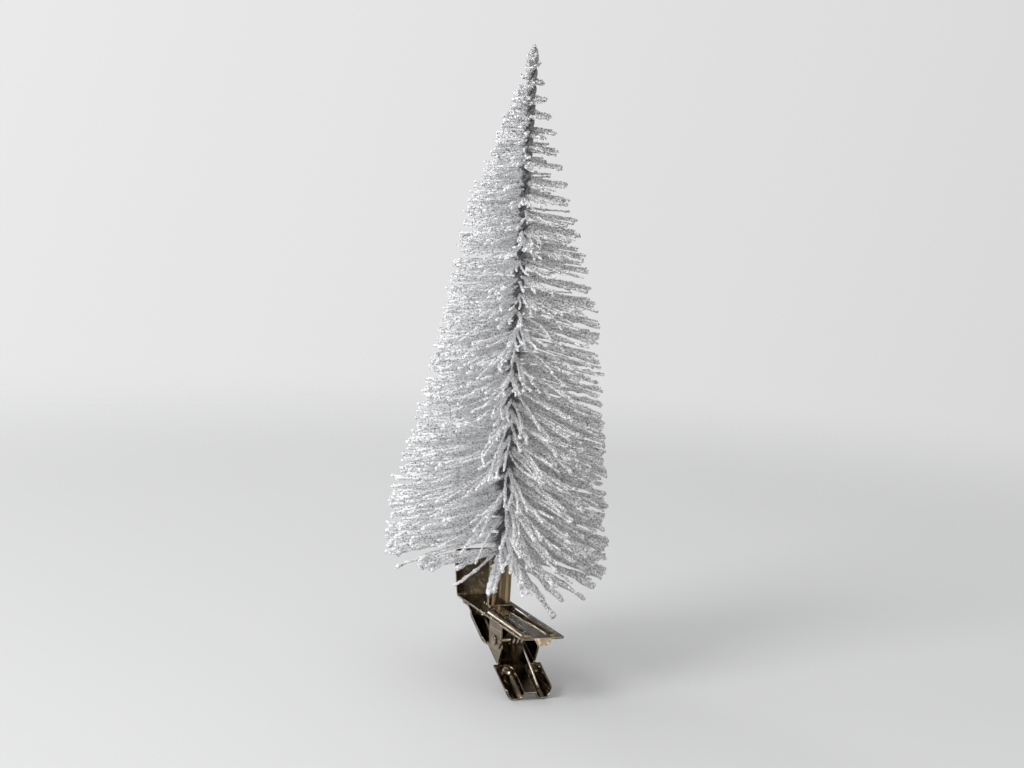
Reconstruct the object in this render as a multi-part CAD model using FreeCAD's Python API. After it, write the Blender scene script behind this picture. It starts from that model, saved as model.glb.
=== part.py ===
import FreeCAD, Part

import math
import os

from FreeCAD import Vector

# Clip-on tree ornament: a bottle-brush tree that stands on a sprung sheet-metal clip.
# Millimetres. Z is up along the stem, X is the clip's pivot line, the handles point to -Y
# and the jaws to +Y. The origin is the axis of the twig that just fills the closed clip.

# Sheet and main sizes of the two stamped arms
sheet = 0.5
arm_width = 13.0
lower_handle_width = 14.4
arm_offset = 5.0  # from the pivot axis to the inner face of each arm
upper_reach = 19.0  # from the pivot axis to the end of the upper handle
lower_reach = 16.8  # from the pivot axis to the end of the lower handle
upper_corner = 0.9
lower_corner = 2.6
arm_angle = 26.0  # degrees between the arms while the clip is closed
twig_diameter = 6.0

# Long beads pressed outwards in both arms
upper_bead_width = 3.9
upper_bead_height = 1.0
upper_bead_centre = 3.7  # from the middle of the arm to the crest of the bead
lower_bead_width = 5.6
lower_bead_height = 2.2
lower_bead_centre = 4.2
bead_end_margin = 0.9
bead_foot_gap = 0.3  # from the upper beads to the foot of the stem's socket

# Ears that carry the pivot pin
ear_half_root = 4.3
ear_half_waist = 4.0
ear_overhang = 1.9  # past the pivot axis
ear_half_end = 2.1
ear_clearance = 0.15  # between the ears of one arm and those of the other
ear_notch_margin = 0.4

# Upper arm: thumb tongue in front, upright plate at the back
tongue_root_width = 5.6
tongue_end_width = 3.2
tongue_length = 2.2
tongue_droop = 78.0  # degrees
upright_reach = 29.5  # from the pivot axis to the bend of the upright plate
upright_height = 13.0
upright_lean = 72.0  # degrees that the sheet turns up
upright_bend_radius = 0.8
upright_corner = 1.5

# Lower arm: jaw lip that closes against the upper arm
jaw_gap = 0.2
lip_length = 5.0
lip_bend_radius = 0.6
lip_corner = 1.0

# Pivot pin with a flat-domed head at each end
pin_radius = 0.75
pin_clearance = 0.05
pin_end_play = 0.1
head_radius = 1.35
head_rim = 0.3
head_dome = 0.3

# Torsion spring round the pin
spring_wire_radius = 0.35
spring_coil_radius = 1.5
spring_pitch = 1.25
spring_full_turns = 3
spring_leg_reach = 13.0
spring_seat_gap = 0.1

# Two-wire twisted stem
stem_reach = 13.5  # from the pivot axis to the stem
stem_wire_radius = 0.6
twist_pitch = 9.0
stem_end_gap = 0.1

# Rolled socket that holds the stem
socket_sheet = 0.4
socket_clearance = 0.1
socket_flat = 2.4  # straight run between the two round sides of the loop
socket_height = 13.1
seam_half_angle = 20.0  # degrees
seam_heading = 200.0  # degrees from +X in plan
seam_lip_length = 0.9
seam_lip_flare = 60.0  # degrees
seam_lip_radius = 0.3
foot_width = 8.0
foot_front = 2.5
foot_back = 3.6
foot_corner = 1.0
foot_height = 1.4  # from the upper arm to the top of the foot

# Brush
brush_height = 144.0
brush_radius = 31.1
brush_full_depth = 136.0  # below the apex, where the brush reaches its full radius
brush_bulge_share = 0.5
brush_tip_radius = 2.4
brush_lift = 2.0  # from the socket's mouth to the lowest bristles
bristle_thickness = 0.5
bristle_tip_share = 0.8
bristle_root_gap = 0.15
bristle_droop_top = 2.0  # degrees
bristle_droop_skirt = 9.0  # degrees
bristle_wire_gap = 0.05
bristles_per_turn = 18.62
band_shares = {
    "bristles_skirt": (0.0, 0.15),
    "bristles_lower": (0.15, 0.34),
    "bristles_middle": (0.34, 0.53),
    "bristles_upper": (0.53, 0.72),
    "bristles_top": (0.72, 0.90),
    "bristles_tip": (0.90, 1.0),
}

# Values that follow from the sizes above
half_width = arm_width / 2
angle = math.radians(arm_angle)
outer_face = arm_offset + sheet
inner_ear_face = half_width - sheet - ear_clearance
lip_start = (arm_offset - jaw_gap + arm_offset / math.cos(angle)) / math.tan(angle)
twist_radius = bristle_thickness / 2 + bristle_wire_gap + stem_wire_radius
stem_radius = twist_radius + stem_wire_radius
socket_bore = stem_radius + socket_clearance
foot_top = outer_face + foot_height
stem_bottom = foot_top + stem_end_gap
socket_mouth = foot_top + socket_height
brush_bottom = socket_mouth + brush_lift
brush_top = brush_bottom + brush_height
bristle_root = stem_radius + bristle_root_gap
overrun = arm_width

X_AXIS = Vector(1, 0, 0)
Z_AXIS = Vector(0, 0, 1)
ORIGIN = Vector(0, 0, 0)


def twig_axis():
    """Axis, from the pivot, of the twig that touches both closed arms."""
    radius = twig_diameter / 2
    height = arm_offset - radius
    lower_face = height - radius / math.cos(angle)
    return Vector(0, (lower_face + arm_offset / math.cos(angle)) / math.tan(angle), height)


def turned(vector, axis, degrees):
    """A vector turned about an axis."""
    return FreeCAD.Rotation(axis, degrees).multVec(vector)


def bent_sheet(point, heading, normal, thickness, width, steps):
    """Sheet made run by run: each step is ("run", length) or ("bend", degrees, inside radius).

    The point lies in the middle of the inner face, and the sheet grows from it along the normal.
    A positive bend turns the sheet towards the normal.
    """
    across = heading.cross(normal).normalize()
    pieces = []
    for step in steps:
        corners = [
            point - across * (width / 2),
            point + across * (width / 2),
            point + across * (width / 2) + normal * thickness,
            point - across * (width / 2) + normal * thickness,
        ]
        section = Part.Face(Part.makePolygon(corners + corners[:1]))
        if step[0] == "run":
            pieces.append(section.extrude(heading * step[1]))
            point = point + heading * step[1]
        else:
            degrees, radius = step[1], step[2]
            reach = thickness + radius if degrees > 0 else -radius
            centre = point + normal * reach
            pieces.append(section.revolve(centre, across, degrees))
            point = centre + turned(point - centre, across, degrees)
            heading = turned(heading, across, degrees)
            normal = turned(normal, across, degrees)
    solid = pieces[0].multiFuse(pieces[1:]) if len(pieces) > 1 else pieces[0]
    return solid.removeSplitter()


def round_corners(solid, place, radius):
    """Round the sheet's own corners that lie where place says, a test on an edge's middle."""
    corners = [
        e
        for e in solid.Edges
        if abs(e.Length - sheet) < sheet / 100 and place(e.CenterOfMass)
    ]
    return solid.makeFillet(radius, corners)


def capsule(radius, x, start, end, height):
    """Rod with round ends along Y."""
    rod = Part.makeCylinder(radius, end - start, Vector(x, start, height), Vector(0, 1, 0))
    balls = [Part.makeSphere(radius, Vector(x, y, height)) for y in (start, end)]
    return rod.multiFuse(balls).removeSplitter()


def press_beads(arm, start, end, width, height, centre):
    """Press a pair of long beads outwards, between two places along the arm."""
    end_reach = width / 2
    radius = (end_reach**2 + height**2) / (2 * height)
    axis_height = outer_face + height - radius
    above = Part.makeBox(2 * overrun, end - start, overrun, Vector(-overrun, start, arm_offset))
    for side in (-1, 1):
        place = (side * centre, start + end_reach, end - end_reach, axis_height)
        arm = arm.fuse(capsule(radius, *place).common(above))
        arm = arm.cut(capsule(radius - sheet, *place))
    return arm


def lower_outline():
    """Tall block over the whole lower arm: a wide handle with round corners and a narrower jaw."""
    handle = Part.makeBox(
        lower_handle_width,
        lower_reach,
        2 * overrun,
        Vector(-lower_handle_width / 2, -lower_reach, -overrun),
    )
    posts = [
        e
        for e in handle.Edges
        if abs(e.CenterOfMass.y + lower_reach) < sheet and abs(e.Length - 2 * overrun) < sheet
    ]
    jaw = Part.makeBox(
        arm_width, 2 * upright_reach, 2 * overrun, Vector(-half_width, 0, -overrun)
    )
    return handle.makeFillet(lower_corner, posts).fuse(jaw)


def ear(outside, side):
    """One ear, from the arm's outer face past the pivot axis."""
    x = outside if side > 0 else sheet - outside
    low = -ear_overhang
    shoulder = Vector(x, -(ear_half_waist + ear_half_end) / 2, low * 2 / 3)
    root = [Vector(x, -ear_half_waist, 0), Vector(x, -ear_half_root, outer_face)]
    far_root = [Vector(p.x, -p.y, p.z) for p in reversed(root)]
    far_shoulder = Vector(x, -shoulder.y, shoulder.z)
    ends = [Vector(x, ear_half_end, low), Vector(x, -ear_half_end, low)]
    edges = [
        Part.makeLine(root[0], root[1]),
        Part.makeLine(root[1], far_root[0]),
        Part.makeLine(far_root[0], far_root[1]),
        Part.Arc(far_root[1], far_shoulder, ends[0]).toShape(),
        Part.makeLine(ends[0], ends[1]),
        Part.Arc(ends[1], shoulder, root[0]).toShape(),
    ]
    return Part.Face(Part.Wire(edges)).extrude(Vector(-sheet, 0, 0))


def add_ears(arm, outside):
    """Both ears at a distance from the middle, bored for the pin."""
    arm = arm.multiFuse([ear(outside, side) for side in (-1, 1)])
    bore = Part.makeCylinder(
        pin_radius + pin_clearance, 2 * overrun, Vector(-overrun, 0, 0), X_AXIS
    )
    return arm.cut(bore)


def thumb_tongue():
    """Tongue that turns down from the middle of the upper handle's end."""
    root = tongue_root_width / 2
    end = tongue_end_width / 2
    outline = [
        Vector(-root, 0, 0),
        Vector(root, 0, 0),
        Vector(end, -tongue_length, 0),
        Vector(-end, -tongue_length, 0),
    ]
    plate = Part.Face(Part.makePolygon(outline + outline[:1])).extrude(Z_AXIS * -sheet)
    tips = [
        e
        for e in plate.Edges
        if abs(e.Length - sheet) < sheet / 100 and e.CenterOfMass.y < -tongue_length / 2
    ]
    plate = plate.makeFillet(end * 2 / 3, tips)
    plate.rotate(ORIGIN, X_AXIS, tongue_droop)
    plate.translate(Vector(0, -upper_reach, outer_face))
    return plate


def upper_arm():
    """Handle, deck and upright back plate in one stamping, with long beads and ears."""
    steps = [
        ("run", upper_reach + upright_reach),
        ("bend", upright_lean, upright_bend_radius),
        ("run", upright_height),
    ]
    arm = bent_sheet(
        Vector(0, -upper_reach, arm_offset), Vector(0, 1, 0), Z_AXIS, sheet, arm_width, steps
    )
    arm = round_corners(arm, lambda c: c.y < 0, upper_corner)
    arm = round_corners(arm, lambda c: c.z > upright_height, upright_corner)
    arm = arm.fuse(thumb_tongue())
    bead = (upper_bead_width, upper_bead_height, upper_bead_centre)
    bead_end = stem_reach - foot_front - bead_foot_gap
    arm = press_beads(arm, bead_end_margin - upper_reach, bead_end, *bead)
    return add_ears(arm, half_width).removeSplitter()


def lower_arm():
    """Handle and jaw in one stamping: the upper arm's form turned over, with a jaw lip."""
    tangent = (lip_bend_radius + sheet) * math.tan(angle / 2)
    start = lip_start * math.cos(angle) + (arm_offset - jaw_gap) * math.sin(angle) - tangent
    steps = [
        ("run", lower_reach + start),
        ("bend", arm_angle, lip_bend_radius),
        ("run", lip_length),
    ]
    width = lower_handle_width
    arm = bent_sheet(
        Vector(0, -lower_reach, arm_offset), Vector(0, 1, 0), Z_AXIS, sheet, width, steps
    )
    arm = arm.common(lower_outline())
    arm = round_corners(arm, lambda c: c.y > start + lip_length / 2, lip_corner)
    notch_half = ear_half_root + ear_notch_margin
    for side in (-1, 1):
        x = inner_ear_face if side > 0 else -inner_ear_face - overrun
        notch = Part.makeBox(overrun, 2 * notch_half, overrun, Vector(x, -notch_half, 0))
        arm = arm.cut(notch)
    bead = (lower_bead_width, lower_bead_height, lower_bead_centre)
    arm = press_beads(arm, -lower_reach - lower_bead_width, -notch_half, *bead)
    arm = press_beads(arm, notch_half, start - bead_end_margin, *bead)
    arm = arm.common(lower_outline())
    arm = add_ears(arm, inner_ear_face).removeSplitter()
    arm = arm.mirror(ORIGIN, Z_AXIS)
    arm.rotate(ORIGIN, X_AXIS, arm_angle)
    return arm


def pivot_pin():
    """Round pin with a flat-domed head outside each outer ear."""
    seat = half_width + pin_end_play
    dome_radius = (head_radius**2 + head_dome**2) / (2 * head_dome)
    tall = head_rim + head_dome
    head = Part.makeCylinder(head_radius, tall, Vector(seat, 0, 0), X_AXIS)
    head = head.common(Part.makeSphere(dome_radius, Vector(seat + tall - dome_radius, 0, 0)))
    shaft = Part.makeCylinder(pin_radius, 2 * seat, Vector(-seat, 0, 0), X_AXIS)
    return shaft.multiFuse([head, head.mirror(ORIGIN, X_AXIS)]).removeSplitter()


def biarc(start, start_heading, end, end_heading):
    """Two arcs that join two points, with the given headings at both."""
    span = end - start
    both = start_heading + end_heading
    slack = 2 * (1 - start_heading.dot(end_heading))
    lean = span.dot(both)
    reach = (math.sqrt(lean**2 + slack * span.dot(span)) - lean) / slack
    middle = (start + end + (start_heading - end_heading) * reach) * 0.5
    return [
        tangent_arc(start, start + start_heading * reach, middle),
        tangent_arc(middle, end - end_heading * reach, end),
    ]


def tangent_arc(start, corner, end):
    """The arc from start to end whose two tangents meet at the corner."""
    centre = (start + end) * 0.5
    half_chord = start.distanceToPoint(end) / 2
    bow = math.acos(half_chord / start.distanceToPoint(corner))
    outward = (corner - centre).normalize()
    return Part.Arc(start, centre + outward * (half_chord * math.tan(bow / 2)), end).toShape()


def helix_edges(place, start, turn, quarter_count):
    """Biarcs of a quarter turn or less along a helix.

    place gives the point and the heading at an angle, in radians.
    """
    edges = []
    for step in range(quarter_count):
        here = start + turn * step / quarter_count
        there = start + turn * (step + 1) / quarter_count
        edges += biarc(*place(here), *place(there))
    return edges


def wire_tube(edges, heading, radius):
    """Round wire along a path of tangent edges."""
    path = Part.Wire(edges)
    shell = Part.BRepOffsetAPI.MakePipeShell(path)
    start = edges[0].valueAt(edges[0].FirstParameter)
    shell.add(Part.Wire(Part.Circle(start, heading, radius).toShape()))
    shell.build()
    shell.makeSolid()
    solid = Part.Solid(shell.shape())
    section = math.pi * radius**2
    print("wire volume over section times length", round(solid.Volume / section / path.Length, 4))
    return solid


def spring_leg(bead_height):
    """Slope of a leg against its arm, and its length, where it ends in a bead's groove."""
    height = arm_offset + bead_height - spring_wire_radius - spring_seat_gap
    away = math.hypot(spring_leg_reach, height)
    rise = math.atan2(height, spring_leg_reach) - math.asin(spring_coil_radius / away)
    return rise, math.sqrt(away**2 - spring_coil_radius**2)


def torsion_spring():
    """Unbroken wire: a leg under the upper handle, the coil, and a leg on the lower handle."""
    upper_rise, upper_leg = spring_leg(upper_bead_height)
    lower_rise, lower_leg = spring_leg(lower_bead_height)
    first = math.pi / 2 - upper_rise
    turn = -(2 * math.pi * spring_full_turns + math.pi - angle - upper_rise - lower_rise)
    climb = spring_pitch / (2 * math.pi)
    half_length = -turn * climb / 2

    def place(a):
        x = -half_length + (first - a) * climb
        point = Vector(x, spring_coil_radius * math.cos(a), spring_coil_radius * math.sin(a))
        heading = Vector(
            climb, spring_coil_radius * math.sin(a), -spring_coil_radius * math.cos(a)
        )
        return point, heading.normalize()

    start, start_heading = place(first)
    end, end_heading = place(first + turn)
    slant = math.hypot(1, climb / spring_coil_radius)
    upper_end = start - start_heading * (upper_leg * slant)
    lower_end = end + end_heading * (lower_leg * slant)
    quarters = math.ceil(-turn / (math.pi / 2))
    edges = [Part.makeLine(upper_end, start)]
    edges += helix_edges(place, first, turn, quarters)
    edges.append(Part.makeLine(end, lower_end))
    print("spring least gap to itself", round(least_gap(place, first, turn), 3))
    return wire_tube(edges, start_heading, spring_wire_radius)


def least_gap(place, first, turn):
    """Least gap between points of the spring's coil that are half a turn or more apart."""
    samples = 240
    points = [place(first + turn * i / samples)[0] for i in range(samples + 1)]
    apart = int(samples * math.pi / -turn)
    gaps = [
        points[i].distanceToPoint(points[j])
        for i in range(samples + 1)
        for j in range(i + apart, samples + 1)
    ]
    return min(gaps) - 2 * spring_wire_radius


def stem_wire(side):
    """One of the two twisted wires, from the socket's foot to the apex."""
    climb = twist_pitch / (2 * math.pi)

    def place(a):
        turn_angle = a + side * math.pi / 2
        point = Vector(
            twist_radius * math.cos(turn_angle),
            stem_reach + twist_radius * math.sin(turn_angle),
            brush_bottom + a * climb,
        )
        heading = Vector(
            -twist_radius * math.sin(turn_angle), twist_radius * math.cos(turn_angle), climb
        )
        return point, heading.normalize()

    bottom = (stem_bottom + stem_wire_radius - brush_bottom) / climb
    top = brush_height / climb
    quarters = math.ceil((top - bottom) / (math.pi / 2))
    edges = helix_edges(place, bottom, top - bottom, quarters)
    return wire_tube(edges, place(bottom)[1], stem_wire_radius)


def stem_socket():
    """Strip rolled to an oval loop, with an open flared seam, on a foot that bridges the beads."""
    middle_height = foot_top - socket_sheet / 2 + socket_height / 2
    tall = socket_height + socket_sheet
    outward = turned(X_AXIS, Z_AXIS, seam_heading + seam_half_angle)
    left_centre = Vector(-socket_flat / 2, stem_reach, middle_height)
    start = left_centre + outward * socket_bore
    along = Z_AXIS.cross(outward)
    wrap = 360 - 2 * seam_half_angle
    front_turn = 270 - seam_heading - seam_half_angle
    roll = [
        ("bend", -front_turn, socket_bore),
        ("run", socket_flat),
        ("bend", -180, socket_bore),
        ("run", socket_flat),
        ("bend", front_turn + 180 - wrap, socket_bore),
    ]
    tube = bent_sheet(start, along, outward, socket_sheet, tall, roll)
    lip = [("bend", seam_lip_flare, seam_lip_radius), ("run", seam_lip_length)]
    first_lip = bent_sheet(start, -along, outward, socket_sheet, tall, lip)
    far_outward = turned(outward, Z_AXIS, wrap)
    far_start = left_centre + far_outward * socket_bore
    far_along = Z_AXIS.cross(far_outward)
    second_lip = bent_sheet(far_start, far_along, far_outward, socket_sheet, tall, lip)
    return socket_foot().multiFuse([tube, first_lip, second_lip]).removeSplitter()


def socket_foot():
    """Shallow tray turned over, whose rim stands on the upper arm."""
    solids = []
    for inset, tall in ((0, foot_height), (socket_sheet, foot_height - socket_sheet)):
        corner = Vector(inset - foot_width / 2, stem_reach - foot_front + inset, outer_face)
        long = foot_front + foot_back - 2 * inset
        block = Part.makeBox(foot_width - 2 * inset, long, tall, corner)
        posts = [e for e in block.Edges if abs(e.Length - tall) < socket_sheet / 100]
        solids.append(block.makeFillet(foot_corner - inset, posts))
    return solids[0].cut(solids[1])


def reach_at(height):
    """Radius of the brush at a height."""
    depth = min((brush_top - height) / brush_full_depth, 1)
    radius = brush_radius * depth * (1 + brush_bulge_share * (1 - depth))
    return max(radius, brush_tip_radius)


def droop_at(height):
    """Slope at which the bristles hang at a height, as a tangent."""
    depth = (brush_top - height) / brush_height
    degrees = bristle_droop_top + (bristle_droop_skirt - bristle_droop_top) * depth**2
    return math.tan(math.radians(degrees))


def bar_corners(height, reach, half_thick, drop):
    """The four plan corners of a bar across the stem, turned with the twist at its height."""
    turn = 2 * math.pi * (height - brush_bottom) / twist_pitch
    along = Vector(math.cos(turn), math.sin(turn), 0)
    side = Vector(-math.sin(turn), math.cos(turn), 0)
    centre = Vector(0, stem_reach, height - drop)
    return [
        centre + along * (reach * a) + side * (half_thick * b)
        for a, b in ((1, 1), (-1, 1), (-1, -1), (1, -1))
    ]


def bristle_sides(low, high, low_tip, high_tip, near, far):
    """Triangles of one tapered bristle, between two corners of the bar at both levels."""
    root = [low[near], low[far], high[far], high[near]]
    tip = [low_tip[near], low_tip[far], high_tip[far], high_tip[near]]
    sides = [(tip[0], tip[1], tip[2]), (tip[0], tip[2], tip[3])]
    for i in range(4):
        j = (i + 1) % 4
        sides.append((root[i], root[j], tip[j]))
        sides.append((root[i], tip[j], tip[i]))
    return sides


def bristle_band(start_share, end_share):
    """Bristles of one stretch of the stem: a twisted web between the wires, with tapered rods."""
    count = round(brush_height / twist_pitch * bristles_per_turn)
    rise = brush_height / count
    first, last = round(start_share * count), round(end_share * count)
    half_thick = bristle_thickness / 2
    levels = []
    for step in range(first, last + 1):
        height = brush_bottom + rise * step
        levels.append(bar_corners(height, bristle_root, half_thick, 0))
    triangles = []
    for step, (low, high) in enumerate(zip(levels, levels[1:])):
        middle = brush_bottom + rise * (first + step + 0.5)
        reach = reach_at(middle)
        drop = (reach - bristle_root) * droop_at(middle)
        half_tip = bristle_thickness * bristle_tip_share / 2
        tips = bar_corners(middle, reach, half_tip, drop)
        lift = Z_AXIS * (rise * bristle_tip_share / 2)
        low_tip = [p - lift for p in tips]
        high_tip = [p + lift for p in tips]
        for near, far in ((0, 1), (2, 3)):
            triangles.append((low[near], high[near], high[far]))
            triangles.append((low[near], high[far], low[far]))
        triangles += bristle_sides(low, high, low_tip, high_tip, 3, 0)
        triangles += bristle_sides(low, high, low_tip, high_tip, 1, 2)
    for bar, order in ((levels[0], (0, 1, 2, 3)), (levels[-1], (3, 2, 1, 0))):
        a, b, c, d = (bar[i] for i in order)
        triangles += [(a, b, c), (a, c, d)]
    faces = [Part.Face(Part.makePolygon(list(t) + [t[0]])) for t in triangles]
    solid = Part.Solid(Part.makeShell(faces))
    if solid.Volume < 0:
        solid.reverse()
    return solid


def build():
    """Every node's solid, in the frame of the gripped twig."""
    nodes = {
        "upper_arm": upper_arm(),
        "lower_arm": lower_arm(),
        "pivot_pin": pivot_pin(),
        "torsion_spring": torsion_spring(),
        "stem_socket": stem_socket(),
        "stem_wire_a": stem_wire(1),
        "stem_wire_b": stem_wire(-1),
    }
    for name, shares in band_shares.items():
        nodes[name] = bristle_band(*shares)
    for solid in nodes.values():
        solid.translate(-twig_axis())
    return nodes


os.makedirs("parts", exist_ok=True)
for node, shape in build().items():
    solids = shape.Solids
    print(node, len(solids), shape.isValid(), round(shape.Volume, 2))
    shape.exportStep(f"parts/{node}.step")
grip = twig_axis()
print("pivot axis", round(-grip.y, 3), round(-grip.z, 3))
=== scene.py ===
import logging
import math
from dataclasses import dataclass, field
from enum import Enum

import bpy
import numpy as np
from mathutils import Matrix, Vector


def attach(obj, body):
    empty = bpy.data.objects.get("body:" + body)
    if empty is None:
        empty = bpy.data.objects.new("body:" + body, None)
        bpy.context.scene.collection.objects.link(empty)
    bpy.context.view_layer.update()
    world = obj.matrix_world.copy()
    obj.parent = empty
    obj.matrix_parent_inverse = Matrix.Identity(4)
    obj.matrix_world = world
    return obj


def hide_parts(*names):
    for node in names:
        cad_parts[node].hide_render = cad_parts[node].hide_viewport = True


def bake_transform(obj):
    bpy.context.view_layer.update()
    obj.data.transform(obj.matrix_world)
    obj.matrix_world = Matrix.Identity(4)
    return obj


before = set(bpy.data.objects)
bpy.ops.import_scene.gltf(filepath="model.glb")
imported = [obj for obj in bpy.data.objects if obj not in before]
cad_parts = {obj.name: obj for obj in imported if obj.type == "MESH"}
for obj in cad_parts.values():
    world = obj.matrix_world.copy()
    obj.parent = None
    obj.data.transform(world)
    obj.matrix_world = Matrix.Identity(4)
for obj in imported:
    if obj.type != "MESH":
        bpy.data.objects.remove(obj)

log = logging.getLogger("ornament")

MM = 0.001
TURN = 2 * math.pi
STEM_Y = 4.837 * MM
BRUSH_BOTTOM = 20 * MM

Socket = bpy.types.NodeSocket
Triple = tuple[float, float, float]


class Body(Enum):
    """The two bodies of the frame that pieces ride on."""

    ORNAMENT = "ornament"
    JAW = "jaw"


class Slot(Enum):
    """Names of two of the record's material slots."""

    SPRING = "spring_wire"
    BRISTLE = "glitter_bristle"


# Shader nodes


class Graph:
    """Short hands for building one tree of shader nodes."""

    def __init__(self, owner: bpy.types.ID, output: str) -> None:
        """Empty the owner's tree and give it an output node.

        Args:
            owner: A material or a world.
            output: Kind of the output node.
        """
        owner.use_nodes = True
        self.owner = owner
        self.tree = owner.node_tree
        self.tree.nodes.clear()
        self.output = self.add(output)

    def add(self, kind: str, inputs: dict | None = None, **settings: object) -> bpy.types.Node:
        """Add a node, set its properties and feed its inputs.

        Args:
            kind: Name of the node after "ShaderNode".
            inputs: What feeds each input, by the input's name or number.
            settings: Properties of the node by name.

        Returns:
            The new node.
        """
        node = self.tree.nodes.new("ShaderNode" + kind)
        for key, value in settings.items():
            setattr(node, key, value)
        for key, value in (inputs or {}).items():
            self.feed(node.inputs[key], value)
        return node

    def feed(self, target: Socket, value: object) -> None:
        """Give an input a link or a value of its own.

        Args:
            target: The input.
            value: A socket, a node whose first output is meant, a number, a vector or a colour.
        """
        if isinstance(value, bpy.types.Node):
            value = value.outputs[0]
        if isinstance(value, Socket):
            self.tree.links.new(value, target)
        elif target.type == "RGBA":
            target.default_value = (*value, 1)
        else:
            target.default_value = value

    def show(self, shader: bpy.types.Node) -> bpy.types.ID:
        """Join the last shader to the output and give back the tree's owner."""
        self.feed(self.output.inputs["Surface"], shader)
        return self.owner

    def place(self, stretch: Triple = (1, 1, 1), shift: Triple = (0, 0, 0)) -> Socket:
        """Object coordinates, stretched along the axes and then shifted.

        Args:
            stretch: Scale of the coordinates along X, Y and Z.
            shift: What is added to them, in metres.

        Returns:
            The socket that gives the coordinates.
        """
        coordinates = self.add("TexCoord").outputs["Object"]
        mapping = self.add("Mapping", {"Vector": coordinates, "Location": shift, "Scale": stretch})
        return mapping.outputs["Vector"]

    def vector(self, kind: str, *values: object) -> Socket:
        """Vector arithmetic.

        Args:
            kind: The operation, such as NORMALIZE.
            values: Sockets or vectors.

        Returns:
            The socket of the vector, or of the number for a length or a dot product.
        """
        node = self.add("VectorMath", dict(enumerate(values)), operation=kind)
        return node.outputs["Value" if kind in ("LENGTH", "DOT_PRODUCT") else "Vector"]

    def reckon(self, kind: str, first: Socket, second: object) -> Socket:
        """Arithmetic on a socket and a socket or number.

        Args:
            kind: The operation, such as MULTIPLY.
            first: A socket.
            second: A socket or a number.

        Returns:
            The socket of the result.
        """
        return self.add("Math", {0: first, 1: second}, operation=kind).outputs[0]

    def span(self, value: Socket, low: float, high: float, to_low: object, to_high: object) -> Socket:
        """A value carried from one span to another, with its ends held.

        Args:
            value: The socket to carry over.
            low: Value that becomes to_low.
            high: Value that becomes to_high.
            to_low: Result at low.
            to_high: Result at high.

        Returns:
            The socket of the result.
        """
        ends = {"From Min": low, "From Max": high, "To Min": to_low, "To Max": to_high}
        return self.add("MapRange", {"Value": value, **ends}).outputs["Result"]

    def noise(self, place: Socket, scale: float, detail: float = 3) -> Socket:
        """Smooth noise.

        Args:
            place: Coordinates.
            scale: Features per metre.
            detail: Octaves.

        Returns:
            The socket of the noise, from 0 to 1.
        """
        return self.add("TexNoise", {"Vector": place, "Scale": scale, "Detail": detail}).outputs["Fac"]

    def blend(self, factor: Socket, first: object, second: object) -> Socket:
        """A colour between two others.

        Args:
            factor: 0 gives the first colour and 1 the second.
            first: A colour or a socket.
            second: A colour or a socket.

        Returns:
            The socket of the colour.
        """
        return self.add("Mix", {0: factor, 6: first, 7: second}, data_type="RGBA").outputs[2]

    def ramp(self, value: Socket, stops: tuple[tuple[float, Triple], ...]) -> Socket:
        """A colour read off a row of stops.

        Args:
            value: Where on the row to read.
            stops: Places and colours, in rising order.

        Returns:
            The socket of the colour.
        """
        node = self.add("ValToRGB", {0: value})
        elements = node.color_ramp.elements
        elements[0].position = stops[0][0]
        elements[1].position = stops[-1][0]
        for position, _ in stops[1:-1]:
            elements.new(position)
        for element, (_, colour) in zip(elements, stops):
            element.color = (*colour, 1)
        return node.outputs["Color"]

    def height(self, place: Socket) -> Socket:
        """The Z coordinate of a place."""
        return self.add("SeparateXYZ", {0: place}).outputs["Z"]

    def from_stem(self, place: Socket) -> Socket:
        """The level vector from the stem's axis to a place."""
        return self.vector("MULTIPLY_ADD", place, (1, 1, 0), (0, -STEM_Y, 0))

def material_graph(name: str) -> Graph:
    """A graph with a new material of that name."""
    return Graph(bpy.data.materials.new(name), "OutputMaterial")


def glitter_cells(graph: Graph, place: Socket, size: float, tilt: float) -> tuple[Socket, Socket, Socket]:
    """Facets of a glitter coat: every cell has one random tilt and two random values.

    The facet's normal is the surface's normal plus a random vector per cell, made a unit vector again.

    Args:
        graph: The material's graph.
        place: Coordinates.
        size: Width of a cell in metres.
        tilt: Length of the random vector against the normal.

    Returns:
        The socket of the facet's normal and the sockets of its two random values.
    """
    cells = graph.add("TexVoronoi", {"Vector": place, "Scale": 1 / size}).outputs["Color"]
    centred = graph.vector("SUBTRACT", cells, (0.5, 0.5, 0.5))
    lean = graph.add("VectorMath", {0: centred, "Scale": 2 * tilt}, operation="SCALE")
    surface = graph.add("NewGeometry").outputs["Normal"]
    normal = graph.vector("NORMALIZE", graph.vector("ADD", surface, lean))
    channels = graph.add("SeparateColor", {0: cells}).outputs
    return normal, channels["Green"], channels["Blue"]


# Finishes


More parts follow.
